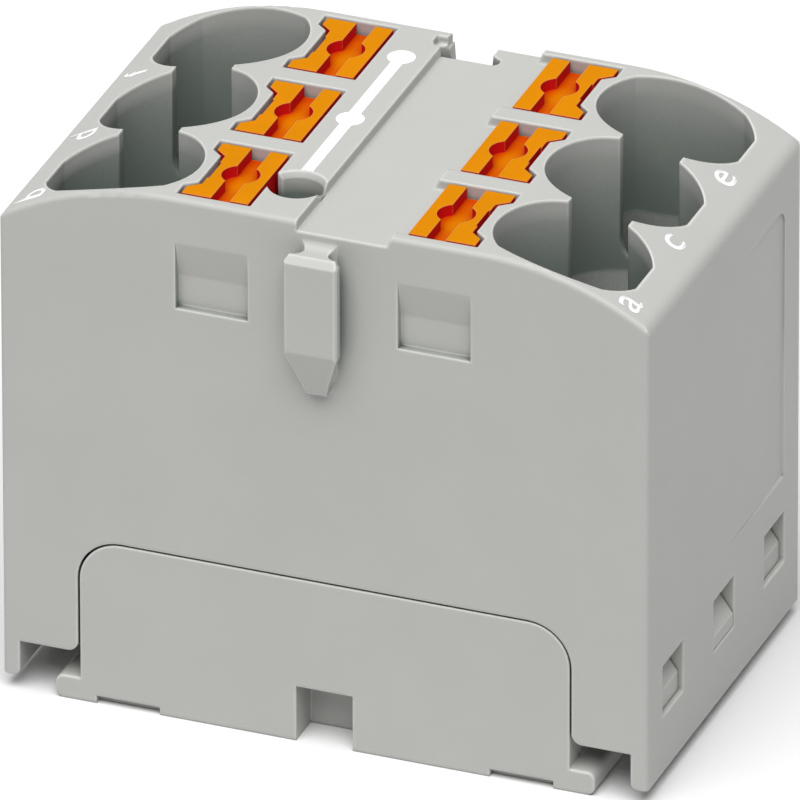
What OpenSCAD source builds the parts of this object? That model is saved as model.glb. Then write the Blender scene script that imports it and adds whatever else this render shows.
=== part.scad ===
// Push-in power distribution block for six conductors in two banks of three.
// One grey housing, a snap-in base plate, a common current bar, and for each
// conductor a leaf spring and an orange release button.
// Millimetres. X runs across the two banks, Y along the rows, Z up.
// The block stands on its foot at z = 0, centred on x = 0, y = 0.

/* [Node] */
// Which sub-part is drawn

/* [Block] */
// Length of the block across both banks
body_length = 25.0; // [24.8:0.1:26.5]
// Pitch of the conductor rows, the block is three pitches deep
row_pitch = 5.2; // [5.15:0.05:5.8]
// Height of the block from the foot to the flat top
body_height = 21.32; // [21:0.1:23]
// Half width of the level middle of the top
top_flat = 6.0; // [5.8:0.1:6.4]
// Radius of the shoulders that fall away to both ends
shoulder_r = 12.0; // [11.5:0.5:16]
// Radius that turns a shoulder into the end wall
shoulder_fillet = 0.6; // [0.4:0.1:0.8]
// Radius along the outer edges of the moulding
edge_r = 0.18; // [0.1:0.02:0.22]
// Thickness of the long front and back walls round the base pocket
wall = 1.0; // [0.9:0.1:1.2]
// Thickness of the end walls, which run down as legs
leg_thickness = 0.65; // [0.6:0.05:0.8]
// Radius of the inner corner at the bottom of a leg
leg_round = 0.25; // [0.1:0.05:0.3]

/* [Deck] */
// How far the middle deck lies below the banks
deck_drop = 0.41; // [0.3:0.05:0.6]
// Left edge of the deck, measured from the middle
deck_left = 1.0; // [0.9:0.05:1.1]
// Right edge of the deck at the top of the bank, measured from the middle
deck_right = 2.65; // [2.5:0.05:2.75]
// How far that edge slopes in down to the deck
deck_slope = 0.16; // [0.1:0.02:0.2]

/* [Conductor entries] */
// Inner centre of the entry funnel from the middle
funnel_x = 8.27; // [8.2:0.05:8.5]
// Distance between the two centres of the stretched funnel
funnel_stretch = 0.68; // [0.5:0.05:0.8]
// Radius of the round ends of the funnel
funnel_r = 2.55; // [2.4:0.05:2.56]
// Wall left outside the flattened end of the funnel
funnel_end_wall = 1.15; // [1.1:0.05:1.3]
// Wall left between the outer funnels and the long sides
funnel_side_wall = 0.26; // [0.24:0.02:0.4]
// Radius of the flattened side of the outer funnels
funnel_side_r = 5.0; // [4.5:0.5:8]
// Depth of the straight part of the funnel below the flat top
funnel_depth = 5.5; // [5:0.1:5.8]
// Position of the opening between neighbouring funnels from the middle
neck_x = 8.67; // [8.6:0.02:8.7]
// Width of that opening
neck_width = 2.3; // [2:0.1:2.4]
// Depth of that opening below the flat top, down to its round bottom
neck_depth = 5.35; // [4.8:0.05:5.4]
// Radius of the rounded cusps beside the opening
cusp_r = 0.14; // [0.1:0.02:0.16]
// Diameter of the round conductor hole below the funnel
wire_hole_d = 2.9; // [2.7:0.1:3]
// Position of the conductor hole from the middle
wire_hole_x = 8.6; // [8.5:0.05:8.7]

/* [Test point] */
// Position of the test hole from the middle, in the left bank
test_x = 1.98; // [1.9:0.02:2.05]
// Diameter of the test hole
test_d = 1.92; // [1.8:0.02:2]
// Diameter of the narrow hole from its floor down to the bar
test_core_d = 1.0; // [0.8:0.1:1.2]
// Width of its opening into the front left button well
test_slot = 1.12; // [1:0.02:1.2]
// Diameter of its lead-in at the surface
test_mouth_d = 2.18; // [2.1:0.02:2.3]
// Depth of the lead-in
test_lead = 0.22; // [0.1:0.02:0.3]

/* [Release buttons] */
// Straight inner side of a button from the middle
button_x = 3.09; // [3.05:0.02:3.15]
// Width of a button over its two flanges
button_width = 2.55; // [2.5:0.05:2.6]
// How much narrower the web is than the flanges
button_waist = 0.44; // [0.3:0.02:0.5]
// Length of a button along its row
button_length = 4.04; // [3.9:0.02:4.1]
// Straight length of each flange end
flange_length = 0.52; // [0.4:0.02:0.6]
// Length of the slanted run from flange to web
flange_slant = 0.37; // [0.2:0.01:0.4]
// Depth of the thumb relief in the middle of the web
web_relief = 0.07; // [0.04:0.01:0.1]
// Height of the button head
button_head = 5.0; // [4.5:0.1:5.2]
// Travel of the button from rest to fully pressed
button_travel = 1.5; // [1.2:0.1:1.6]
// Gap between the button head and its well
well_gap = 0.15; // [0.12:0.01:0.18]
// Width of the screwdriver slot across the button
slot_width = 0.74; // [0.6:0.02:0.8]
// Depth of the screwdriver slot
slot_depth = 0.46; // [0.4:0.02:0.6]
// Diameter of the round recess in the middle of the slot
slot_eye_d = 1.42; // [1.2:0.02:1.5]
// Position of the slot from the inner side of the button
slot_x = 1.06; // [1.0:0.02:1.1]
// Width of the button stem
stem_width = 1.8; // [1.6:0.1:1.9]
// Length of the button stem along the row
stem_length = 2.3; // [2:0.1:2.4]
// How far the snap nose stands out from the stem
stem_nose = 0.3; // [0.25:0.05:0.35]
// Gap between the stem and its guide
guide_gap = 0.12; // [0.1:0.01:0.15]

/* [Dovetail joint] */
// Position of the dovetail along the long side, left of the middle
tail_x = 0.1; // [0:0.02:0.12]
// How far the pin stands out of the front
pin_out = 1.05; // [0.9:0.05:1.1]
// Width of the pin over its head
pin_width = 2.06; // [1.9:0.02:2.1]
// Width of the pin at its neck
pin_neck = 0.96; // [0.8:0.02:1.1]
// Top of the pin below the flat top
pin_drop = 0.95; // [0.9:0.05:1.2]
// Height of the pin over all
pin_height = 5.76; // [5.5:0.02:6]
// Height of the tapered lower end
pin_taper = 1.89; // [1.7:0.02:2.1]
// Width of the lower tip
pin_tip = 0.78; // [0.7:0.02:0.9]
// Chamfer along the upper front edge
pin_chamfer = 0.24; // [0.15:0.01:0.3]
// Radius of the hollow flanks of the neck
pin_flank_r = 0.38; // [0.3:0.01:0.4]
// Radius of the fillet from the top of the pin into the wall
pin_fillet = 0.38; // [0.3:0.01:0.42]
// Gap between a neighbour's pin and the slot
tail_gap = 0.18; // [0.15:0.01:0.22]
// Depth of the flared lead-in of the slot below the deck
tail_lead = 1.0; // [0.8:0.1:1.2]

/* [Windows] */
// Inner side of the marker recesses from the middle
recess_x = 2.89; // [2.8:0.02:3]
// Width of a marker recess
recess_width = 2.79; // [2.7:0.02:2.9]
// Depth of a marker recess
recess_depth = 0.3; // [0.2:0.02:0.35]
// Top of a marker recess below the flat top
recess_drop = 1.8; // [1.7:0.05:2]
// Height of a marker recess
recess_height = 2.65; // [2.5:0.05:2.8]
// Width of the latch windows in the end walls
window_width = 2.15; // [2.1:0.05:2.2]
// Height of the latch windows
window_height = 2.12; // [2:0.02:2.2]
// Bottom of the latch windows above the foot
window_z = 2.85; // [2.8:0.05:2.9]
// Depth of the sloped grip field in each end wall
field_depth = 0.08; // [0.05:0.01:0.1]
// Height of the grip field
field_height = 11.0; // [10.5:0.1:11.5]
// Radius of its upper corner
field_r = 0.6; // [0.4:0.1:1]

/* [Base plate] */
// Height of the foot
foot_height = 0.9; // [0.85:0.05:1]
// How far the foot stands below the legs
foot_drop = 0.57; // [0.5:0.01:0.6]
// Length of the foot across the banks
foot_length = 20.9; // [20.7:0.1:21.2]
// Radius of the lower corners of the foot
foot_r = 0.3; // [0.2:0.05:0.35]
// Height of the skirt arch above the foot's underside
arch_height = 6.65; // [6.4:0.05:6.7]
// Width of the skirt arch
arch_width = 18.96; // [18.8:0.02:19.1]
// Corner radius of the skirt arch
arch_r = 1.62; // [1.4:0.02:1.8]
// Parting gap between the skirt and the housing
arch_gap = 0.09; // [0.07:0.01:0.12]
// Height of the open notch beside the foot, above the foot's underside
notch_z = 1.99; // [1.9:0.01:2.1]
// Rounding of the wall corner beside the foot
notch_round = 0.4; // [0.3:0.05:0.45]
// Width of the release notch in the middle of the skirt
key_width = 2.2; // [2:0.1:2.4]
// Height of the release notch
key_height = 2.23; // [2:0.01:2.4]
// Depth of the release notch
key_depth = 1.46; // [1.3:0.02:1.5]
// Position of the shallow reliefs along the foot, from the middle
relief_x = 7.63; // [7.5:0.01:7.8]
// Length of one relief
relief_length = 2.47; // [2.3:0.01:2.6]
// Height of one relief
relief_height = 0.29; // [0.2:0.01:0.32]
// Depth of one relief
relief_depth = 0.3; // [0.2:0.02:0.4]
// Thickness of the walls and ribs of the base plate
base_wall = 1.0; // [0.9:0.1:1.1]

/* [Contacts] */
// Thickness of the current bar
bar_thickness = 0.8; // [0.7:0.1:0.9]
// Underside of the current bar above the foot
bar_z = 7.55; // [7.5:0.05:7.6]
// Distance of the current bar from the long sides
bar_side = 1.3; // [1.25:0.05:1.4]
// Width of an upright contact tab
tab_width = 3.2; // [2.8:0.1:3.4]
// Height of the bevelled top of a contact tab
tab_bevel = 0.6; // [0.5:0.1:0.8]
// Thickness of the leaf spring strip
leaf_thickness = 0.35; // [0.25:0.05:0.4]
// Width of the leaf spring strip
leaf_width = 3.0; // [2.6:0.1:3.2]
// Radius of the outside of the spring bend
bend_r = 2.05; // [1.95:0.05:2.1]
// Gap between inner parts that lie against each other
rest_gap = 0.05; // [0.04:0.01:0.06]

/* [Hidden] */
$fn = 96;

cut = 1;
half_l = body_length / 2;
half_w = 1.5 * row_pitch;
rows = [-row_pitch, 0, row_pitch];
top_z = body_height;
deck_z = top_z - deck_drop;
leg_z = foot_drop;

// shoulder arc, fillet and the height where the end wall begins
arc_z = top_z - shoulder_r;
fil_x = half_l - shoulder_fillet;
fil_z = arc_z + sqrt(pow(shoulder_r - shoulder_fillet, 2) - pow(fil_x - top_flat, 2));
tan_a = atan2(fil_z - arc_z, fil_x - top_flat);
// angle past the shoulder arc after which its rounded rim has run out
run_a = 1.1 * sqrt(2 * edge_r * shoulder_fillet / (shoulder_r * (shoulder_r - shoulder_fillet))) * 180 / PI;

funnel_z = top_z - funnel_depth;
funnel_end = half_l - funnel_end_wall;
funnel_side = half_w - funnel_side_wall;
hole_r = wire_hole_d / 2;

button_out = button_x + button_width;
web_x = button_out - button_waist;
half_b = button_length / 2;
flange_y = half_b - flange_length;
web_y = flange_y - flange_slant;
button_top = top_z - 0.02;
head_z = button_top - button_head;
well_z = head_z - button_travel - 0.2;

bar_top = bar_z + bar_thickness;
chamber_z = bar_top + rest_gap;
bend_x = button_x + bend_r - 0.55;
bend_z = bar_top + rest_gap + bend_r;
leaf_top = bend_z + bend_r;
foot_z = leaf_top + rest_gap;
guide_z = foot_z + 0.7;
stem_x = button_x + 0.26;
chamber_half = leaf_width / 2 + 0.4;
chamber_in = bend_x - bend_r - 0.2;
chamber_out = half_l - 1.45;
tab_x = wire_hole_x + hole_r + 0.1;
tab_out = chamber_out - 0.1;
tab_top = bar_top + 3.5;
ceiling_z = bar_top + 3.65;
pocket_z = arch_height + arch_gap;
window_top = window_z + window_height;

pin_top = top_z - pin_drop;
pin_bottom = pin_top - pin_height;
head_w = pin_width / 2;
neck_w = pin_neck / 2;
slot_in = pin_out + tail_gap;

// ---------------------------------------------------------------- shapes

// outline with four true round corners
module round_rect(x0, x1, y0, y1, r) {
    translate([x0 + r, y0]) square([x1 - x0 - 2 * r, y1 - y0]);
    translate([x0, y0 + r]) square([x1 - x0, y1 - y0 - 2 * r]);
    for (x = [x0 + r, x1 - r], y = [y0 + r, y1 - r]) translate([x, y]) circle(r);
}

// outline standing on a straight bottom with two round top corners
module arch(w, h, r, below = cut) {
    translate([-w / 2, -below]) square([w, h - r + below]);
    translate([-w / 2 + r, 0]) square([w - 2 * r, h]);
    for (s = [-1, 1]) translate([s * (w / 2 - r), h - r]) circle(r);
}

// a slice that runs along Y from y0 to y1, drawn as a front view
module along_y(y0, y1) {
    translate([0, y1, 0]) rotate([90, 0, 0]) linear_extrude(y1 - y0) children();
}

// a slice that runs along X from x0 to x1, drawn as a side view
module along_x(x0, x1) {
    translate([x0, 0, 0]) rotate([90, 0, 90]) linear_extrude(x1 - x0) children();
}

// the sharp part outside a rounded corner: corner at the origin, material at -x and -y
module corner_waste() {
    difference() {
        translate([-edge_r, -edge_r]) square(edge_r + 0.4);
        translate([-edge_r, -edge_r]) circle(edge_r);
    }
}

// waste outside the rounded rims of an arc about a Y axis, swept down from its highest point
module rim_waste(r, sweep) {
    for (q = [0, 1]) mirror([0, q, 0]) rotate([90, 0, 0]) mirror([1, -1, 0])
        rotate_extrude(angle = sweep) translate([r, half_w]) corner_waste();
}

// puts a shape of the right bank at row y, or mirrors it into the left bank
module pole(side, y) {
    translate([0, y, 0]) mirror([side < 0 ? 1 : 0, 0, 0]) children();
}

module all_poles() {
    for (side = [-1, 1], y = rows) pole(side, y) children();
}

// --------------------------------------------------------------- housing

// slice of a disc between two angles
module pie(r, a0, a1) {
    a = (a0 + a1) / 2;
    intersection() {
        circle(r);
        polygon([[0, 0], [2 * r * cos(a0), 2 * r * sin(a0)], [2 * r * cos(a), 2 * r * sin(a)],
                 [2 * r * cos(a1), 2 * r * sin(a1)]]);
    }
}

// front view: level top, falling shoulders, small fillets into the end walls
module front_view() {
    // a point inside both round slices, so that the straight core overlaps the two of them
    x = fil_x + 0.8 * shoulder_fillet * cos(tan_a + 8);
    z = fil_z + 0.8 * shoulder_fillet * sin(tan_a + 8);
    polygon([[-half_l, leg_z], [half_l, leg_z], [half_l, fil_z], [x, z], [top_flat, arc_z],
             [top_flat, top_z], [-top_flat, top_z], [-top_flat, arc_z], [-x, z], [-half_l, fil_z]]);
    for (s = [0, 1]) mirror([s, 0]) {
        translate([top_flat, arc_z]) pie(shoulder_r, tan_a, 90);
        translate([fil_x, fil_z]) pie(shoulder_fillet, 0, tan_a);
    }
}

// outer form with its long top edges and its upright corners rounded
module block() {
    difference() {
        intersection() {
            along_y(-half_w, half_w) front_view();
            translate([0, 0, leg_z - cut]) linear_extrude(body_height + cut)
                round_rect(-half_l, half_l, -half_w, half_w, edge_r);
        }
        for (t = [0, 180]) rotate(t) along_x(-top_flat, top_flat)
            translate([half_w, top_z]) corner_waste();
        for (s = [0, 1]) mirror([s, 0, 0])
            translate([top_flat, 0, arc_z]) rim_waste(shoulder_r, 90 - tan_a + run_a);
    }
}

// plan of one entry funnel, cut off at the end wall and flattened towards the long side t
module funnel_plan(t) {
    intersection() {
        union() {
            translate([funnel_x, 0]) circle(funnel_r);
            translate([funnel_x + funnel_stretch, 0]) circle(funnel_r);
            translate([funnel_x, -funnel_r]) square([funnel_stretch, 2 * funnel_r]);
        }
        translate([0, -funnel_r - cut]) square([funnel_end, 2 * (funnel_r + cut)]);
        if (t != 0) translate([funnel_x + 0.7 * funnel_stretch, t * (funnel_side - row_pitch - funnel_side_r)])
            circle(funnel_side_r);
    }
}

// one funnel: straight mouth, stretched cone that flares past the mouth's walls, round conductor hole
module funnel(t) {
    z0 = funnel_z - (funnel_r - hole_r);
    flare = 0.4;
    intersection() {
        translate([0, 0, z0]) linear_extrude(top_z - z0 + cut) funnel_plan(t);
        union() {
            for (x = [funnel_x, funnel_x + funnel_stretch]) translate([x, 0, z0])
                cylinder(h = funnel_z + flare - z0, r1 = hole_r, r2 = funnel_r + flare);
            along_x(funnel_x, funnel_x + funnel_stretch)
                polygon([[-hole_r, z0], [hole_r, z0], [funnel_r + flare, funnel_z + flare],
                         [-funnel_r - flare, funnel_z + flare]]);
            translate([0, -funnel_r - cut, funnel_z + flare / 2])
                cube([half_l, 2 * (funnel_r + cut), top_z + cut - funnel_z]);
        }
    }
    translate([wire_hole_x, 0, ceiling_z - cut])
        cylinder(h = funnel_z - ceiling_z + cut, r = hole_r);
}

// round-bottomed opening between two neighbouring funnels, with rounded cusps
module neck() {
    r = neck_width / 2;
    zc = top_z - neck_depth + r;
    span = 2 * (row_pitch / 2 - sqrt(pow(funnel_r, 2) - pow(r + cusp_r, 2))) + 0.3;
    along_y(-span / 2, span / 2) translate([neck_x, 0]) {
        translate([0, zc]) circle(r);
        translate([-r, zc]) square([neck_width, top_z - zc + cut]);
    }
}

// plan of the button, grown by a gap for its well
module button_plan(gap) {
    polygon([[button_x - gap, -half_b - gap], [button_out + gap, -half_b - gap],
             [button_out + gap, -flange_y + gap / 2], [web_x + gap, -web_y + gap / 2],
             [web_x + gap, web_y - gap / 2], [button_out + gap, flange_y - gap / 2],
             [button_out + gap, half_b + gap], [button_x - gap, half_b + gap]]);
}

// well of one button with the guide for its stem
module well() {
    translate([0, 0, well_z]) linear_extrude(top_z - well_z + cut) button_plan(well_gap);
    translate([stem_x - guide_gap, -stem_length / 2 - guide_gap, guide_z - cut])
        cube([stem_width + 2 * guide_gap, stem_length + 2 * guide_gap, well_z - guide_z + 2 * cut]);
}

// room for the spring and the bare conductor end
module chamber() {
    translate([chamber_in, -chamber_half, chamber_z - cut])
        cube([chamber_out - chamber_in, 2 * chamber_half, ceiling_z - chamber_z + cut]);
    translate([chamber_in, -chamber_half, chamber_z - cut])
        cube([stem_x + stem_width + 0.9 - chamber_in, 2 * chamber_half, guide_z - chamber_z + cut]);
}

// front view of everything open at the bottom of the long walls
module wall_openings() {
    gap_w = arch_width + 2 * arch_gap;
    arch(gap_w, arch_height + arch_gap, arch_r + arch_gap);
    translate([-half_l + leg_thickness, -cut]) square([body_length - 2 * leg_thickness, notch_z + cut]);
    for (s = [-1, 1]) translate([s * (gap_w / 2 + notch_round / 2), notch_z + notch_round / 2])
        difference() {
            square(notch_round, center = true);
            translate([s * notch_round / 2, notch_round / 2]) circle(notch_round);
        }
}

// rounded inner corner at the bottom of both legs
module leg_corners() {
    for (s = [-1, 1]) translate([s * (half_l - leg_thickness + leg_round / 2), leg_z + leg_round / 2])
        difference() {
            square(leg_round, center = true);
            translate([s * leg_round / 2, leg_round / 2]) circle(leg_round);
        }
}

// arrow-shaped dovetail pin on the front, its hollow flanks and its top run out into the wall
module pin() {
    z1 = pin_bottom + pin_taper;
    tip_out = 0.4 * pin_out;
    z2 = pin_top + pin_fillet;
    translate([-tail_x, -half_w, 0]) intersection() {
        translate([0, 0, pin_bottom]) linear_extrude(z2 - pin_bottom) difference() {
            translate([-head_w, -pin_out]) square([pin_width, pin_out + cut / 2]);
            for (s = [-1, 1]) {
                translate([s * (neck_w + pin_flank_r), -0.33]) circle(pin_flank_r);
                translate([s > 0 ? head_w - 0.1 : -head_w - 0.9, -0.33]) square([1, cut]);
                translate([s * head_w, -pin_out]) rotate(45) square(0.12, center = true);
            }
        }
        along_x(-head_w, head_w) difference() {
            polygon([[cut / 2, pin_bottom], [-tip_out, pin_bottom], [-pin_out, z1],
                     [-pin_out, pin_top - pin_chamfer], [-pin_out + pin_chamfer, pin_top],
                     [0.02 - pin_fillet, pin_top], [0.02 - pin_fillet, z2], [cut / 2, z2]]);
            translate([0.02 - pin_fillet, z2 - 0.01]) circle(pin_fillet);
        }
        along_y(-pin_out, cut / 2)
            polygon([[-pin_tip / 2, pin_bottom], [pin_tip / 2, pin_bottom], [head_w, z1],
                     [head_w, pin_top - pin_chamfer], [head_w - 0.15, pin_top], [head_w - 0.15, z2],
                     [-head_w + 0.15, z2], [-head_w + 0.15, pin_top], [-head_w, pin_top - pin_chamfer],
                     [-head_w, z1]]);
    }
}

// slot in the back that takes the pin of the next block from above
module tail_slot() {
    lip = neck_w + tail_gap + 0.09;
    in_w = head_w + tail_gap + 0.07;
    z1 = pin_bottom + pin_taper;
    translate([-tail_x, half_w, 0]) {
        intersection() {
            translate([0, 0, pin_bottom - 0.2]) linear_extrude(top_z + cut) {
                polygon([[-lip, cut], [-lip, -0.42], [-in_w, -0.8], [-in_w, -slot_in + 0.3],
                         [-in_w + 0.3, -slot_in], [in_w - 0.3, -slot_in], [in_w, -slot_in + 0.3],
                         [in_w, -0.8], [lip, -0.42], [lip, cut]]);
                for (s = [-1, 1]) translate([s * (in_w - 0.3), -slot_in + 0.3]) circle(0.3);
            }
            along_y(-slot_in, cut)
                polygon([[-pin_tip / 2 - 0.2, pin_bottom - 0.2], [pin_tip / 2 + 0.2, pin_bottom - 0.2],
                         [in_w, z1], [in_w, top_z + cut], [-in_w, top_z + cut], [-in_w, z1]]);
        }
        along_y(-0.5, cut)
            polygon([[-lip, deck_z - tail_lead], [lip, deck_z - tail_lead], [lip + 0.12, deck_z],
                     [lip + 0.12, top_z + cut], [-lip - 0.18, top_z + cut]]);
        translate([-in_w - 0.05, -0.95, top_z - 0.3]) cube([0.6, 0.5, cut]);
    }
}

module housing() {
    color([0.70, 0.70, 0.67]) {
        difference() {
            block();
            // middle deck
            along_y(-half_w - cut, half_w + cut)
                polygon([[-deck_left, deck_z], [deck_right - deck_slope, deck_z], [deck_right, top_z],
                         [deck_right, top_z + cut], [-deck_left, top_z + cut]]);
            // funnels and the openings between them
            for (side = [-1, 1], t = [-1, 0, 1]) pole(side, rows[t + 1]) funnel(t);
            for (side = [-1, 1], y = [-row_pitch / 2, row_pitch / 2]) pole(side, y) neck();
            // button wells, the right bank open to the deck
            all_poles() well();
            for (y = rows) translate([deck_right - deck_slope - 0.01, y - half_b - well_gap, deck_z])
                cube([button_x - deck_right + deck_slope, button_length + 2 * well_gap, deck_drop + cut]);
            // spring chambers, bar seat and base pocket
            all_poles() chamber();
            translate([-chamber_out, -half_w + 1.1, leg_z])
                cube([2 * chamber_out, 2 * (half_w - 1.1), chamber_z - leg_z]);
            translate([-half_l + leg_thickness, -half_w + wall, leg_z - cut])
                cube([body_length - 2 * leg_thickness, 2 * (half_w - wall), pocket_z - leg_z + cut]);
            along_y(-half_w - cut, half_w + cut) { wall_openings(); leg_corners(); }
            // test hole, open to the front left button well, with a narrow hole down to the bar
            translate([-test_x, rows[0], 0]) {
                translate([0, 0, guide_z]) cylinder(h = top_z, d = test_d);
                translate([0, 0, chamber_z - cut]) cylinder(h = guide_z - chamber_z + 2 * cut, d = test_core_d);
                translate([0, 0, top_z - test_lead])
                    cylinder(h = test_lead, d1 = test_d, d2 = test_mouth_d);
                translate([0, 0, top_z]) cylinder(h = cut, d = test_mouth_d);
                translate([-button_x + test_x, -test_slot / 2, well_z])
                    cube([button_x - test_x - 0.3, test_slot, top_z]);
            }
            // marker recesses, front and back
            for (s = [-1, 1], t = [0, 1]) rotate(180 * t) mirror([s < 0 ? 1 : 0, 0, 0])
                along_x(recess_x, recess_x + recess_width)
                    polygon([[-half_w - cut, top_z - recess_drop], [-half_w, top_z - recess_drop],
                             [-half_w + recess_depth, top_z - recess_drop - 0.53 * recess_height],
                             [-half_w + recess_depth, top_z - recess_drop - recess_height],
                             [-half_w - cut, top_z - recess_drop - recess_height]]);
            // latch windows and the sloped grip field of the end walls
            for (s = [-1, 1]) {
                for (y = rows) translate([s * half_l, y, window_z + window_height / 2])
                    cube([4 * leg_thickness, window_width, window_height], center = true);
                mirror([s < 0 ? 1 : 0, 0, 0]) intersection() {
                    translate([0, 0, pocket_z - 0.27]) linear_extrude(field_height)
                        polygon([[half_l, 0.2], [half_l + cut, 0.2], [half_l + cut, half_w - 1.65],
                                 [half_l - field_depth, half_w - 1.65]]);
                    along_x(half_l - 0.5, half_l + 2 * cut) translate([0, pocket_z - 1]) {
                        square([half_w - 1.65 - field_r, field_height + 0.73]);
                        square([half_w, field_height + 0.73 - field_r]);
                        translate([half_w - 1.65 - field_r, field_height + 0.73 - field_r]) circle(field_r);
                    }
                }
            }
            tail_slot();
        }
        pin();
    }
}

// ------------------------------------------------------------ base plate

// snap lug that fills one latch window, nose set back by q
module lug(q, ramp_z) {
    w = window_width - 0.16;
    x0 = arch_width / 2 - 0.4;
    translate([0, -w / 2, 0]) along_y(0, w)
        polygon([[x0, window_z + 0.05], [half_l - q, window_z + 0.05], [half_l - q, ramp_z],
                 [half_l - 0.54, ramp_z + 1.4 * (0.54 - q)], [half_l - 0.54, window_top + 0.3],
                 [half_l - leg_thickness - 0.1, window_top + 0.3],
                 [half_l - leg_thickness - 0.1, window_top + 0.31], [x0, window_top + 0.31]]);
}

module base_plate() {
    y0 = half_w - 0.02;
    color([0.68, 0.68, 0.65]) difference() {
        union() {
            // foot
            along_y(-y0, y0) round_rect(-foot_length / 2, foot_length / 2, 0, foot_height, foot_r);
            // skirts in the arches of the housing
            for (s = [-1, 1]) along_y(s > 0 ? y0 - base_wall : -y0, s > 0 ? y0 : -y0 + base_wall)
                translate([0, foot_height]) arch(arch_width, arch_height - foot_height, arch_r, 0.1);
            // side walls and ribs under the bar
            for (s = [-1, 1]) translate([s * (arch_width / 2 - base_wall / 2) - base_wall / 2,
                                         -half_w + wall + 0.1, foot_height - 0.1])
                cube([base_wall, 2 * (half_w - wall - 0.1), arch_height - foot_height - arch_r + 0.1]);
            for (y = [-row_pitch / 2, row_pitch / 2]) translate([-arch_width / 2 + base_wall, y - base_wall / 2,
                                                                 foot_height - 0.1])
                cube([arch_width - 2 * base_wall, base_wall, bar_z - rest_gap - foot_height + 0.1]);
            for (k = [-1, 0, 1]) translate([0.3 * k * arch_width - base_wall / 2, -half_w + wall + 0.1,
                                            foot_height - 0.1])
                cube([base_wall, 2 * (half_w - wall - 0.1), bar_z - rest_gap - foot_height + 0.1]);
            // boxed wall behind the release notches
            for (s = [-1, 1]) translate([-key_width / 2 - base_wall,
                                         s > 0 ? y0 - key_depth - base_wall : -y0 + base_wall - 0.1, 0.1])
                cube([key_width + 2 * base_wall, key_depth + 0.1, key_height + base_wall]);
            // snap lugs: the middle one flush, the outer ones set back
            for (s = [-1, 1]) mirror([s < 0 ? 1 : 0, 0, 0]) {
                lug(0.03, 3.42);
                for (y = [rows[0], rows[2]]) translate([0, y, 0]) lug(0.2, 3.67);
            }
        }
        // release notches in the middle of both skirts
        for (s = [-1, 1]) translate([-key_width / 2, s > 0 ? y0 - key_depth : -half_w - cut, -cut])
            cube([key_width, key_depth + cut + 0.02, key_height + cut]);
        // shallow reliefs along the edges of the foot
        for (s = [-1, 1], t = [-1, 1]) translate([s * relief_x, t * y0, relief_height / 2])
            cube([relief_length, 2 * relief_depth, relief_height + 0.01], center = true);
    }
}

// ----------------------------------------------------------- current bar

module current_bar() {
    color([0.78, 0.66, 0.55]) {
        w = half_w - bar_side;
        translate([-tab_out, -w, bar_z]) cube([2 * tab_out, 2 * w, bar_thickness]);
        all_poles() {
            translate([tab_x, -tab_width / 2, bar_z])
                cube([tab_out - tab_x, tab_width, tab_top - tab_bevel + 0.1 - bar_z]);
            along_x(tab_x, tab_out)
                polygon([[-tab_width / 2, tab_top - tab_bevel], [tab_width / 2, tab_top - tab_bevel],
                         [tab_width / 2 - 0.4, tab_top], [-tab_width / 2 + 0.4, tab_top]]);
        }
    }
}

// --------------------------------------------------------- leaf springs

// bent strip: foot on the bar, round bend, arm reaching to the contact tab
module spring() {
    tip = [tab_x - 0.25, bar_top + 1.75];
    lap = 0.01;
    far = 6 * bend_r;
    d = sqrt(pow(tip[0] - bend_x, 2) + pow(tip[1] - bend_z, 2));
    a = atan2(tip[1] - bend_z, tip[0] - bend_x) + acos(bend_r / d);
    arm = sqrt(d * d - bend_r * bend_r);
    color([0.80, 0.81, 0.83]) along_y(-leaf_width / 2, leaf_width / 2) {
        difference() {
            translate([bend_x, bend_z]) circle(bend_r);
            translate([bend_x, bend_z]) circle(bend_r - leaf_thickness);
            polygon([[bend_x, bend_z], [bend_x, bend_z - far], [bend_x + far, bend_z - far],
                     [bend_x + far * cos(a), bend_z + far * sin(a)]]);
        }
        translate([bend_x - 0.05, bend_z - bend_r + lap]) square([2.4, leaf_thickness]);
        translate([bend_x, bend_z]) rotate(a) translate([bend_r - leaf_thickness - lap, -arm])
            square([leaf_thickness, arm + 0.05]);
    }
}

// -------------------------------------------------------------- buttons

module button() {
    nose_z = guide_z - 0.1;
    color([0.93, 0.56, 0.02]) {
        difference() {
            translate([0, 0, head_z]) linear_extrude(button_head) button_plan(0);
            // screwdriver slot with its round eye
            translate([button_x + slot_x - slot_width / 2, -half_b - cut, button_top - slot_depth])
                cube([slot_width, button_length + 2 * cut, slot_depth + cut]);
            translate([button_x + slot_x, 0, button_top - slot_depth])
                cylinder(h = slot_depth + cut, d = slot_eye_d);
            // relief in the web
            translate([web_x - web_relief, -0.62, head_z - cut])
                cube([cut, 1.24, button_head + 2 * cut]);
        }
        translate([stem_x, -stem_length / 2, foot_z])
            cube([stem_width, stem_length, head_z - foot_z + 0.2]);
        along_x(stem_x, stem_x + stem_width)
            polygon([[-stem_length / 2, foot_z], [stem_length / 2, foot_z],
                     [stem_length / 2 + stem_nose, nose_z - 0.25], [stem_length / 2 + stem_nose, nose_z],
                     [-stem_length / 2 - stem_nose, nose_z], [-stem_length / 2 - stem_nose, nose_z - 0.25]]);
    }
}

module button_a() { pole(1, rows[0]) button(); }
module button_b() { pole(-1, rows[0]) button(); }
module button_c() { pole(1, rows[1]) button(); }
module button_d() { pole(-1, rows[1]) button(); }
module button_e() { pole(1, rows[2]) button(); }
module button_f() { pole(-1, rows[2]) button(); }

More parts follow.
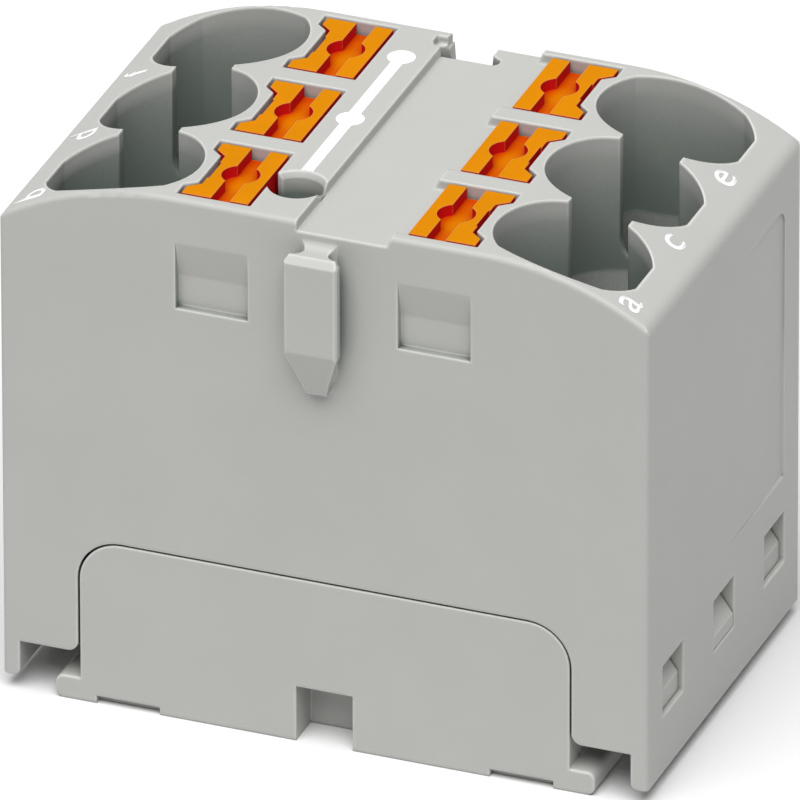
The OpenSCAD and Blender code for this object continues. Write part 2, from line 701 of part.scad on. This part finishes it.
module spring_a() { pole(1, rows[0]) spring(); }
module spring_b() { pole(-1, rows[0]) spring(); }
module spring_c() { pole(1, rows[1]) spring(); }
module spring_d() { pole(-1, rows[1]) spring(); }
module spring_e() { pole(1, rows[2]) spring(); }
module spring_f() { pole(-1, rows[2]) spring(); }

housing();
base_plate();
current_bar();
button_a();
button_b();
button_c();
button_d();
button_e();
button_f();
spring_a();
spring_b();
spring_c();
spring_d();
spring_e();
spring_f();
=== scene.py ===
"""Looks of a six-pole power distribution block: materials, printed marks, stage, light and camera."""

import math

import bmesh
import bpy
from mathutils import Matrix, Vector


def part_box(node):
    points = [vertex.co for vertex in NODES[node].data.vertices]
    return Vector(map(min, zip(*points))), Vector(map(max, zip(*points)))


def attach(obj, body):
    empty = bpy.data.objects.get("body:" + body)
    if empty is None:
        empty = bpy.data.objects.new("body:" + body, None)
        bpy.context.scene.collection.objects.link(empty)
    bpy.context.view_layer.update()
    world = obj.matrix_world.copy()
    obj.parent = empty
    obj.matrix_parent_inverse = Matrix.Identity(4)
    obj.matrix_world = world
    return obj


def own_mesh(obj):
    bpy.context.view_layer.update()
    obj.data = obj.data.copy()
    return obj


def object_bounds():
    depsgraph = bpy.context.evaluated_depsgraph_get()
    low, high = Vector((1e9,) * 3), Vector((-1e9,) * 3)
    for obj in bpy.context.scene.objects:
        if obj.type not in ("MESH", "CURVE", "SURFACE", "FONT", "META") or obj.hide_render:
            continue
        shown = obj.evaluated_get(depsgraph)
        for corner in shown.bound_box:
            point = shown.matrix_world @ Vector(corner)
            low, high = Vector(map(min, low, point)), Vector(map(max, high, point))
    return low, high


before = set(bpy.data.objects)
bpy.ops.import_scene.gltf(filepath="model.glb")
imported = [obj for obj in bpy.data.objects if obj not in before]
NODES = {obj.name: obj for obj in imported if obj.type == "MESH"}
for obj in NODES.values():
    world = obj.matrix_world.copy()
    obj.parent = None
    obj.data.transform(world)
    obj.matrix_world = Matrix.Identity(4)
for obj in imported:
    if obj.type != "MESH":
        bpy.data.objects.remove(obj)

cad_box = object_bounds()
POLES = "abcdef"
MM = 0.001

# ------------------------------------------------------------ sizes, in metres

# the housing's top: level in the middle, falling shoulders on both sides
TOP_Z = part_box("housing")[1].z
SHOULDER_RADIUS = 12.0 * MM
SHOULDER_START = 6.0 * MM        # where the level top turns into the arc

# printed marks
PRINT_THICKNESS = 0.012 * MM     # ink film
PRINT_LIFT = 0.004 * MM          # ink's underside above the plastic
LINE_X = -2.02 * MM              # centre of the printed line
LINE_WIDTH = 0.45 * MM
DISC_RADIUS = 0.52 * MM
DISC_Y = (0.16 * MM, 5.27 * MM)
DISC_STEPS = 40
TEST_HOLE = Vector((-1.98 * MM, -5.2 * MM))
TEST_RIM_RADIUS = 1.10 * MM
LETTER_STRETCH = 1.17            # letters lie on a slope, so they are longer than their plan
LETTER_WEIGHT = 0.007            # thickening of the strokes, as a share of the font size
LETTERS = {                      # x and y of the middle and height in plan, in mm
    "a": (11.52, -7.02, 0.78), "c": (11.40, -2.25, 0.74), "e": (11.37, 2.98, 0.78),
    "b": (-11.55, -6.98, 1.08), "d": (-11.55, -2.12, 1.08), "f": (-11.52, 3.05, 0.95),
}

# softening of edges in the shading, which also places the painted highlights
HOUSING_EDGE = 0.17 * MM
BUTTON_EDGE = 0.05 * MM
METAL_EDGE = 0.04 * MM
EDGE_DOT = (0.86, 0.985)         # bevelled times smooth normal: on an edge, on a face

# how far the painted shade and highlights look for neighbouring walls
CORNER_REACH = 0.25 * MM
HOLLOW_REACH = 9.0 * MM
SLOT_REACH = 0.8 * MM
BUTTON_CORNER_REACH = 0.15 * MM
HOLLOW_Z = (11.0 * MM, 13.0 * MM)             # painted shade in hollows only above these heights and below these depths under the top
HOLLOW_DEPTH = (0.35 * MM, 0.85 * MM)         # and below these depths under the top

# surface grain, in features per metre
GRAIN_SCALE = 14000
GRAIN_DEPTH = 0.01 * MM
STREAK_SCALE = 6000
FILM_SCALE = 5000

# floor and backdrop
FLOOR_HALF = 0.6
FLOOR_SQUARES = 24
FLOOR_GAP = 0.02 * MM            # between the floor and the foot
FOOT_SHARE = 0.9                 # part of the footprint where the floor passes bounced light

# --------------------------------------------------------- colours, painted shade and painted highlights

GREY = (0.455, 0.46, 0.438)
# painted shade of the housing's hollows
GREY_HOLLOW_SHADE = (0.395, 0.475, 0.42)
ORANGE_TOP = (0.62, 0.215, 0.0)
# painted shade in the buttons' slots and on their upright faces, and painted highlight on their edges
ORANGE_SLOT_SHADE = (0.5, 0.045, 0.0)
ORANGE_FLANK_SHADE = (0.56, 0.008, 0.01)
ORANGE_EDGE_HIGHLIGHT = (0.86, 0.42, 0.12)
TIN = (0.62, 0.6, 0.57)
STEEL = (0.6, 0.61, 0.63)
INK = ((0.93, 0.93, 0.93), (1.0, 1.0, 1.0))
GREY_MOTTLE = 0.012              # how much the clouds darken and lighten a colour
ORANGE_MOTTLE = 0.025
METAL_MOTTLE = 0.06
# painted highlight on the housing's edges, then painted shade in its corners, gaps, walls and cones
EDGE_HIGHLIGHT_GAIN = 1.5
CORNER_SHADE = 0.9
GAP_SHADE = 0.2
WALL_SHADE = 0.37
CONE_SHADE = 0.1
FLOOR_WHITE = 0.8                # the floor as the camera sees it
FLOOR_GREY = 0.6                 # the floor as light bounces off it


# ---------------------------------------------------------------- node helpers

def node_tree(name):
    """A new material with its node tree and shader."""
    mat = bpy.data.materials.new(name)
    mat.use_nodes = True
    return mat, mat.node_tree, mat.node_tree.nodes["Principled BSDF"]


def add(tree, kind, **inputs):
    """A node of that kind with its input values set."""
    node = tree.nodes.new(kind)
    for key, value in inputs.items():
        node.inputs[key.replace("_", " ")].default_value = value
    return node


def feed(tree, socket, value):
    """Sets a socket to a number, or links it to another socket."""
    if isinstance(value, (int, float)):
        socket.default_value = value
    else:
        tree.links.new(value, socket)


def object_coords(tree):
    """Coordinates fixed to the object, in metres."""
    node = tree.nodes.get("Texture Coordinate") or tree.nodes.new("ShaderNodeTexCoord")
    return node.outputs["Object"]


def noise(tree, scale):
    """Noise that is fixed to the object, with scale in features per metre."""
    node = add(tree, "ShaderNodeTexNoise", Scale=scale, Detail=2, Roughness=0.55)
    tree.links.new(object_coords(tree), node.inputs["Vector"])
    return node.outputs["Fac"]


def ramp(tree, source, low, high):
    """A colour that runs from low to high over the middle of the source's range."""
    node = tree.nodes.new("ShaderNodeValToRGB")
    for element, position, colour in zip(node.color_ramp.elements, (0.35, 0.65), (low, high)):
        element.position = position
        element.color = (*colour, 1)
    tree.links.new(source, node.inputs["Fac"])
    return node.outputs["Color"]


def mottled(tree, source, colour, amount):
    """The colour, a little darker or lighter with the source's value."""
    low, high = (tuple(c * (1 + k * amount) for c in colour) for k in (-1, 1))
    return ramp(tree, source, low, high)


def axes_of(tree, vector):
    """The X, Y and Z outputs of a vector."""
    node = tree.nodes.new("ShaderNodeSeparateXYZ")
    tree.links.new(vector, node.inputs["Vector"])
    return node.outputs


def math_node(tree, operation, a, b=0):
    """A sum, product or other operation on two values or sockets."""
    node = tree.nodes.new("ShaderNodeMath")
    node.operation = operation
    for socket, value in zip(node.inputs, (a, b)):
        feed(tree, socket, value)
    return node.outputs["Value"]


def remap(tree, value, source, target):
    """Maps a value from one range to another, held at both ends."""
    node = add(tree, "ShaderNodeMapRange", From_Min=source[0], From_Max=source[1])
    for key, end in zip(("To Min", "To Max"), target):
        feed(tree, node.inputs[key], end)
    tree.links.new(value, node.inputs["Value"])
    return node.outputs["Result"]


def scaled(tree, colour, factor):
    """The colour multiplied by the factor."""
    node = tree.nodes.new("ShaderNodeVectorMath")
    node.operation = "SCALE"
    tree.links.new(colour, node.inputs["Vector"])
    tree.links.new(factor, node.inputs["Scale"])
    return node.outputs["Vector"]


def blend(tree, factor, a, b):
    """Colour a where the factor is 0 and b where it is 1."""
    node = tree.nodes.new("ShaderNodeMix")
    node.data_type = "RGBA"
    for key, value in (("Factor", factor), ("A", a), ("B", b)):
        tree.links.new(value, node.inputs[key])
    return node.outputs["Result"]


def openness(tree, reach):
    """1 on open faces, falling towards 0 in hollows and inner corners."""
    node = add(tree, "ShaderNodeAmbientOcclusion", Distance=reach)
    node.samples = 8
    return node.outputs["AO"]


def upwardness(tree):
    """1 on faces that look up, 0 on upright ones."""
    geometry = tree.nodes.new("ShaderNodeNewGeometry")
    return axes_of(tree, geometry.outputs["True Normal"])["Z"]


def bevel_normal(tree, radius):
    """Normals bent as if each edge had that radius."""
    node = add(tree, "ShaderNodeBevel", Radius=radius)
    node.samples = 6
    return node.outputs["Normal"]


def bend(tree, normal):
    """How far a bevelled normal leans from the smooth one: 0 on faces, 1 in the middle of an edge."""
    dot = tree.nodes.new("ShaderNodeVectorMath")
    dot.operation = "DOT_PRODUCT"
    tree.links.new(normal, dot.inputs[0])
    tree.links.new(tree.nodes.new("ShaderNodeNewGeometry").outputs["Normal"], dot.inputs[1])
    return remap(tree, dot.outputs["Value"], EDGE_DOT, (1.0, 0.0))


def set_normal(tree, shader, normal, height, strength):
    """Fine relief from a height, on top of bevelled normals."""
    bump = add(tree, "ShaderNodeBump", Strength=strength, Distance=GRAIN_DEPTH)
    tree.links.new(height, bump.inputs["Height"])
    tree.links.new(normal, bump.inputs["Normal"])
    tree.links.new(bump.outputs["Normal"], shader.inputs["Normal"])


def depth_below_top(tree):
    """How far a point lies below the housing's curved top, in metres."""
    place = axes_of(tree, object_coords(tree))
    beyond = math_node(tree, "SUBTRACT", math_node(tree, "ABSOLUTE", place["X"]), SHOULDER_START)
    beyond = math_node(tree, "MAXIMUM", beyond, 0)
    height = math_node(tree, "SUBTRACT", SHOULDER_RADIUS ** 2, math_node(tree, "MULTIPLY", beyond, beyond))
    top = math_node(tree, "ADD", math_node(tree, "SQRT", height), TOP_Z - SHOULDER_RADIUS)
    return math_node(tree, "SUBTRACT", top, place["Z"])


# ------------------------------------------------------------------- materials

def moulded(name):
    """Matt grey moulded plastic: spark-eroded grain, faint flow clouds, rounded edges with a painted
    highlight, and painted shade in corners, gaps and hollows.
    """
    mat, tree, shader = node_tree(name)
    clouds = noise(tree, 260)
    tint = mottled(tree, clouds, GREY, GREY_MOTTLE)
    normal = bevel_normal(tree, HOUSING_EDGE)
    # painted highlight on edges, painted shade in inner corners and narrow gaps
    corner = openness(tree, CORNER_REACH)
    edge_highlight = math_node(tree, "MULTIPLY", bend(tree, normal), corner)
    tint = scaled(tree, tint, remap(tree, edge_highlight, (0.05, 0.4), (1.0, EDGE_HIGHLIGHT_GAIN)))
    tint = scaled(tree, tint, remap(tree, corner, (0.2, 0.8), (CORNER_SHADE, 1.0)))
    tint = scaled(tree, tint, remap(tree, corner, (0.1, 0.45), (GAP_SHADE, 1.0)))
    # painted shade: the funnels and wells of the upper half are painted a darker, greener grey, their cones
    # and floors most of all
    loss = remap(tree, upwardness(tree), (0.2, 0.7), (WALL_SHADE, CONE_SHADE))
    shade = scaled(tree, mottled(tree, clouds, GREY_HOLLOW_SHADE, GREY_MOTTLE), loss)
    lit = remap(tree, openness(tree, HOLLOW_REACH), (0.2, 0.62), (0.0, 1.0))
    lit = remap(tree, depth_below_top(tree), HOLLOW_DEPTH, (1.0, lit))
    lit = remap(tree, axes_of(tree, object_coords(tree))["Z"], HOLLOW_Z, (1.0, lit))
    tree.links.new(blend(tree, lit, shade, tint), shader.inputs["Base Color"])
    grain = noise(tree, GRAIN_SCALE)
    tree.links.new(remap(tree, grain, (0, 1), (0.42, 0.52)), shader.inputs["Roughness"])
    # the painted shade also lowers the shine in the hollows
    tree.links.new(remap(tree, lit, (0, 1), (0.05, 0.3)), shader.inputs["Specular IOR Level"])
    set_normal(tree, shader, normal, grain, strength=0.12)
    return mat


def orange_plastic():
    """Satin orange plastic, with painted shade that turns upright faces and slots a deep red."""
    mat, tree, shader = node_tree("orange_polyamide")
    clouds = noise(tree, 500)
    top, slot_shade, flank_shade, rim_highlight = (mottled(tree, clouds, colour, ORANGE_MOTTLE)
                             for colour in (ORANGE_TOP, ORANGE_SLOT_SHADE, ORANGE_FLANK_SHADE, ORANGE_EDGE_HIGHLIGHT))
    normal = bevel_normal(tree, BUTTON_EDGE)
    # painted shade: slot floors darker and redder than the top, upright faces a deep red
    level = blend(tree, remap(tree, openness(tree, SLOT_REACH), (0.6, 0.95), (0.0, 1.0)), slot_shade, top)
    upright = remap(tree, upwardness(tree), (0.2, 0.8), (1.0, 0.0))
    body = blend(tree, upright, level, flank_shade)
    # painted highlight: outer edges are paler, inner corners aren't
    convex = remap(tree, openness(tree, BUTTON_CORNER_REACH), (0.6, 0.85), (0.0, 0.8))
    edge_highlight = math_node(tree, "MULTIPLY", bend(tree, normal), convex)
    tree.links.new(blend(tree, edge_highlight, body, rim_highlight), shader.inputs["Base Color"])
    grain = noise(tree, GRAIN_SCALE)
    tree.links.new(remap(tree, grain, (0, 1), (0.4, 0.5)), shader.inputs["Roughness"])
    shader.inputs["Specular IOR Level"].default_value = 0.02
    set_normal(tree, shader, normal, grain, strength=0.08)
    return mat


def rolled_metal(name, colour, roughness, stretch):
    """Rolled strip: fine streaks along its length and a satin shine."""
    mat, tree, shader = node_tree(name)
    mapping = add(tree, "ShaderNodeMapping", Scale=stretch)
    tree.links.new(object_coords(tree), mapping.inputs["Vector"])
    streaks = add(tree, "ShaderNodeTexNoise", Scale=STREAK_SCALE, Detail=3)
    tree.links.new(mapping.outputs["Vector"], streaks.inputs["Vector"])
    height = streaks.outputs["Fac"]
    tree.links.new(mottled(tree, height, colour, METAL_MOTTLE), shader.inputs["Base Color"])
    shine = remap(tree, height, (0, 1), (roughness - 0.07, roughness + 0.07))
    tree.links.new(shine, shader.inputs["Roughness"])
    shader.inputs["Metallic"].default_value = 1.0
    set_normal(tree, shader, bevel_normal(tree, METAL_EDGE), height, strength=0.1)
    return mat


def ink():
    """White pad-printed ink with a slightly uneven film."""
    mat, tree, shader = node_tree("white_ink")
    film = noise(tree, FILM_SCALE)
    tree.links.new(ramp(tree, film, *INK), shader.inputs["Base Color"])
    tree.links.new(remap(tree, film, (0, 1), (0.45, 0.6)), shader.inputs["Roughness"])
    shader.inputs["Specular IOR Level"].default_value = 0.3
    return mat


def dress(material, *nodes):
    """Gives CAD nodes their material."""
    for node in nodes:
        NODES[node].data.materials.clear()
        NODES[node].data.materials.append(material)


dress(moulded("grey_polyamide"), "housing")
dress(moulded("grey_polyamide_base"), "base_plate")
dress(rolled_metal("tinned_copper", TIN, 0.33, (0.08, 1, 1)), "current_bar")
dress(orange_plastic(), *("button_" + pole for pole in POLES))
dress(rolled_metal("spring_steel", STEEL, 0.28, (0.08, 1, 0.08)), *("spring_" + pole for pole in POLES))
white = ink()

# each leaf spring gets a mesh of its own
for pole in POLES:
    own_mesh(NODES["spring_" + pole])


# ---------------------------------------------------------------- printed marks

def surface_z(x):
    """Height of the housing's top at x."""
    beyond = max(0.0, abs(x) - SHOULDER_START)
    return TOP_Z - SHOULDER_RADIUS + math.sqrt(SHOULDER_RADIUS ** 2 - beyond ** 2)


def printed(name, bm):
    """A closed film of ink over the housing's top, from a mesh of flat faces in plan."""
    for v in bm.verts:
        v.co.z = surface_z(v.co.x) + PRINT_LIFT
    upper = bmesh.ops.extrude_face_region(bm, geom=bm.faces[:])["geom"]
    for v in (g for g in upper if isinstance(g, bmesh.types.BMVert)):
        v.co.z += PRINT_THICKNESS
    bmesh.ops.recalc_face_normals(bm, faces=bm.faces)
    mesh = bpy.data.meshes.new(name)
    bm.to_mesh(mesh)
    bm.free()
    mesh.materials.append(white)
    piece = bpy.data.objects.new(name, mesh)
    bpy.context.scene.collection.objects.link(piece)
    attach(piece, "block")


def circuit_line():
    """A line from the test hole past a disc on the middle row to a disc on the back row."""
    half = LINE_WIDTH / 2
    stations = []                                 # y and half width, front to back
    for y in DISC_Y:
        for i in range(DISC_STEPS + 1):
            along = -DISC_RADIUS * math.cos(math.pi * i / DISC_STEPS)
            across = math.sqrt(max(0.0, DISC_RADIUS ** 2 - along ** 2))
            rounds_off = y == DISC_Y[-1] and along > 0
            stations.append((y + along, across if rounds_off else max(half, across)))
    bm = bmesh.new()
    before = []
    for side in (-half, 0.0, half):               # the front end follows the lead-in of the test hole
        x = LINE_X + side
        y = TEST_HOLE.y + math.sqrt(TEST_RIM_RADIUS ** 2 - (x - TEST_HOLE.x) ** 2)
        before.append(bm.verts.new((x, y, 0)))
    for y, width in stations:
        row = [bm.verts.new((LINE_X + width * k, y, 0)) for k in (-1, 0, 1)]
        for k in (0, 1):
            bm.faces.new((before[k], before[k + 1], row[k + 1], row[k]))
        before = row
    bmesh.ops.remove_doubles(bm, verts=bm.verts, dist=1e-7)
    printed("circuit_line", bm)


def letter_mark(letter, x, y, height):
    """One small letter that reads from the right end of the block, its middle at x, y in plan."""
    name = "mark_" + letter
    curve = bpy.data.curves.new(name + "_text", "FONT")
    curve.body = letter
    curve.size = 1.0
    curve.offset = LETTER_WEIGHT
    curve.resolution_u = 5
    font = bpy.data.objects.new(name + "_text", curve)
    bpy.context.scene.collection.objects.link(font)
    bpy.context.view_layer.update()
    bm = bmesh.new()
    bm.from_mesh(font.to_mesh())
    font.to_mesh_clear()
    bpy.data.objects.remove(font)
    xs = [v.co.x for v in bm.verts]
    ys = [v.co.y for v in bm.verts]
    middle = Vector(((min(xs) + max(xs)) / 2, (min(ys) + max(ys)) / 2))
    scale = height / (max(ys) - min(ys))
    for v in bm.verts:
        across, up = (v.co.x - middle.x) * scale, (v.co.y - middle.y) * scale
        v.co = (x - up, y + across * LETTER_STRETCH, 0)
    bmesh.ops.remove_doubles(bm, verts=bm.verts, dist=1e-9)
    printed(name, bm)


circuit_line()
for letter, place in LETTERS.items():
    letter_mark(letter, *(value * MM for value in place))


# ------------------------------------------------------------------------ stage

def mirror_or_camera(tree):
    """1 for what the camera sees, directly, mirrored or through glass, and 0 for light that bounces."""
    rays = tree.nodes.new("ShaderNodeLightPath").outputs
    either = math_node(tree, "MAXIMUM", rays["Is Camera Ray"], rays["Is Glossy Ray"])
    return math_node(tree, "MAXIMUM", either, rays["Is Transmission Ray"])


def backdrop_floor():
    """A wide white floor that keeps the object's soft shadow and is clear from below."""
    bm = bmesh.new()
    bmesh.ops.create_grid(bm, x_segments=FLOOR_SQUARES, y_segments=FLOOR_SQUARES, size=FLOOR_HALF)
    mesh = bpy.data.meshes.new("floor")
    bm.to_mesh(mesh)
    bm.free()
    floor = bpy.data.objects.new("floor", mesh)
    floor.location.z = cad_box[0].z - FLOOR_GAP
    bpy.context.scene.collection.objects.link(floor)
    mat, tree, shader = node_tree("white_floor")
    seen = mirror_or_camera(tree)
    tree.links.new(remap(tree, seen, (0, 1), (FLOOR_GREY, FLOOR_WHITE)), shader.inputs["Base Color"])
    shader.inputs["Roughness"].default_value = 0.9
    shader.inputs["Specular IOR Level"].default_value = 0.1
    # beneath the foot it lets bounced light through, so that the underside isn't black
    place = axes_of(tree, object_coords(tree))
    beneath = math_node(tree, "SUBTRACT", 1.0, seen)
    for axis, reach in zip("XY", cad_box[1]):
        away = math_node(tree, "ABSOLUTE", place[axis])
        beneath = math_node(tree, "MULTIPLY", beneath, math_node(tree, "LESS_THAN", away, FOOT_SHARE * reach))
    backface = tree.nodes.new("ShaderNodeNewGeometry").outputs["Backfacing"]
    mix = tree.nodes.new("ShaderNodeMixShader")
    tree.links.new(math_node(tree, "MAXIMUM", backface, beneath), mix.inputs[0])
    tree.links.new(shader.outputs["BSDF"], mix.inputs[1])
    tree.links.new(tree.nodes.new("ShaderNodeBsdfTransparent").outputs["BSDF"], mix.inputs[2])
    tree.links.new(mix.outputs["Shader"], tree.nodes["Material Output"].inputs["Surface"])
    mesh.materials.append(mat)


def white_world(strength):
    """Even light from all round; the camera, glossy and transmitted rays see plain white."""
    world = bpy.data.worlds.new("studio")
    bpy.context.scene.world = world
    world.use_nodes = True
    tree = world.node_tree
    back = tree.nodes["Background"]
    back.inputs["Color"].default_value = (1, 1, 1, 1)
    level = remap(tree, mirror_or_camera(tree), (0, 1), (strength, 1.0))
    tree.links.new(level, back.inputs["Strength"])


def sun(name, towards, strength, spread_degrees):
    """A very soft lamp that shines from the given direction."""
    lamp = bpy.data.lights.new(name, "SUN")
    lamp.energy = strength
    lamp.angle = math.radians(spread_degrees)
    ob = bpy.data.objects.new(name, lamp)
    ob.rotation_euler = Vector(towards).to_track_quat("Z", "Y").to_euler()
    bpy.context.scene.collection.objects.link(ob)


backdrop_floor()
white_world(0.22)
sun("key", towards=(0.08, -0.385, 0.92), strength=3.72, spread_degrees=56)


# ----------------------------------------------------------------------- camera

def photo_camera():
    """The photograph's camera: a long lens, from the front right and above."""
    azimuth, elevation, roll = 0.370606, 0.496134, 0.00222416
    distance = 1.02985
    shift_x, shift_y = 0.0737856 * MM, -8.53030 * MM   # where the foot's middle lies off the axis
    foot_drop = 0.57 * MM
    sensor_width = 36
    picture_width, pixels_per_mm = 800, 27.48719       # at that distance
    sa, ca, se, ce = (f(v) for v in (azimuth, elevation) for f in (math.sin, math.cos))
    right = Vector((ca, sa, 0))
    up = Vector((-sa * se, ca * se, ce))
    back = Vector((sa * ce, -ca * ce, se))
    cr, sr = math.cos(roll), math.sin(roll)
    right, up = right * cr - up * sr, right * sr + up * cr
    data = bpy.data.cameras.new("camera")
    data.sensor_width = sensor_width
    data.lens = sensor_width * pixels_per_mm / picture_width * distance / MM
    data.clip_start, data.clip_end = 0.1, 10
    cam = bpy.data.objects.new("camera", data)
    spot = back * distance - right * shift_x - up * shift_y + Vector((0, 0, foot_drop))
    axes = Matrix((right, up, back)).transposed()
    cam.matrix_world = Matrix.Translation(spot) @ axes.to_4x4()
    bpy.context.scene.collection.objects.link(cam)
    bpy.context.scene.camera = cam


photo_camera()
bpy.context.scene.view_settings.view_transform = "Standard"
